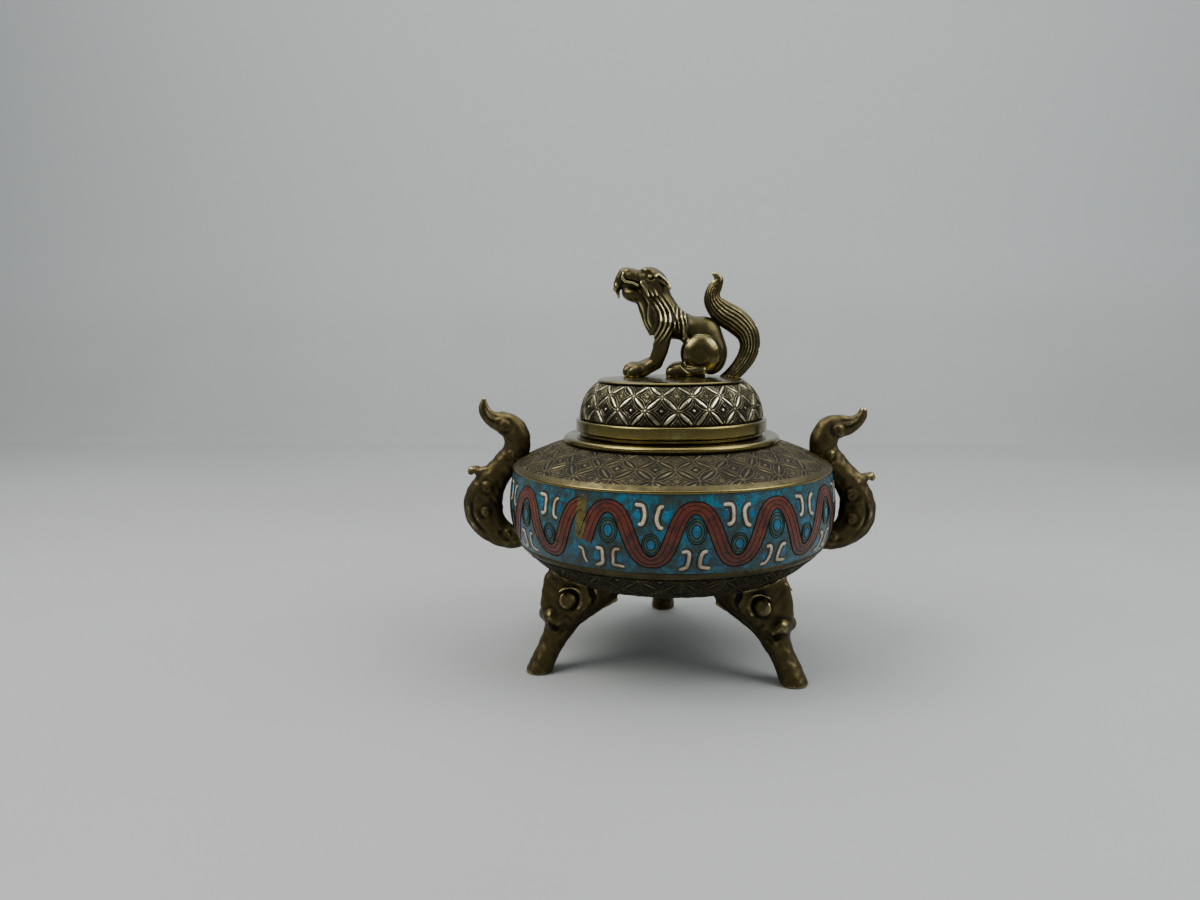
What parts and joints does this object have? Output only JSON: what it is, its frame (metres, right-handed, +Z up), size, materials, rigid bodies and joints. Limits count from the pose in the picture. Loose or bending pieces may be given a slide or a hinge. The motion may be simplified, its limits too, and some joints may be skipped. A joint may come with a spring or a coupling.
{
  "type": "incense burner",
  "caption": "Squat round bronze incense burner on elephant-head legs, with curled side handles, an enamelled wave band and a lift-off domed lid with a lion-dog finial.",
  "frame": {"origin": "the middle of the bottom of the bounding box, at the level of the foot soles; the bowl's own vertical axis is 1.05 mm towards +X from it, because the two handles reach out by different amounts", "axes": "+Z up, parallel to the axis of the bowl and lid; +X through the right-hand handle; -Y is the front, with one leg to its left and one to its right; the lion-dog faces -X"},
  "size_m": [0.1298, 0.1, 0.1201],
  "materials": {
    "cast_bronze": "cast bronze relief, olive gold on the high points with dark brown patina in the recesses",
    "dark_bronze": "dark brown patinated cast bronze, rubbed to gold on edges",
    "lion_bronze": "warm brown bronze, chased and rubbed bright on the haunches",
    "polished_brass": "worn polished brass with olive tarnish",
    "enamel_turquoise": "glossy pitted turquoise and blue enamel",
    "enamel_red": "glossy pitted brick-red enamel",
    "enamel_cream": "cream enamel of the small scrolls, in the visual model only",
    "enamel_olive": "olive enamel streak at the wave's seam, in the visual model only"
  },
  "bodies": {
    "burner": {"bowl": "cast_bronze", "mouth_ring": "polished_brass", "enamel_ground_upper": "enamel_turquoise", "enamel_wave": "enamel_red", "enamel_ground_lower": "enamel_turquoise", "handle_left": "dark_bronze", "handle_right": "dark_bronze", "leg_front_left": "dark_bronze", "leg_front_right": "dark_bronze", "leg_back": "dark_bronze", "rivet_handle_left_upper": "dark_bronze", "rivet_handle_left_lower": "dark_bronze", "rivet_handle_right_upper": "dark_bronze", "rivet_handle_right_lower": "dark_bronze", "rivet_leg_front_left": "dark_bronze", "rivet_leg_front_right": "dark_bronze", "rivet_leg_back": "dark_bronze"},
    "lid": {"lid_seat": "polished_brass", "lid_band": "polished_brass", "lid_dome": "cast_bronze", "lid_plate": "polished_brass", "lion_dog": "lion_bronze", "lion_dog_tail": "lion_bronze", "finial_stud": "polished_brass", "finial_washer": "polished_brass", "finial_nut": "polished_brass"}
  },
  "joints": [
    {"name": "lid_lift", "type": "slide", "parent": "burner", "child": "lid", "axis": [0, 0, 1], "range_m": [0, 0.04]}
  ]
}
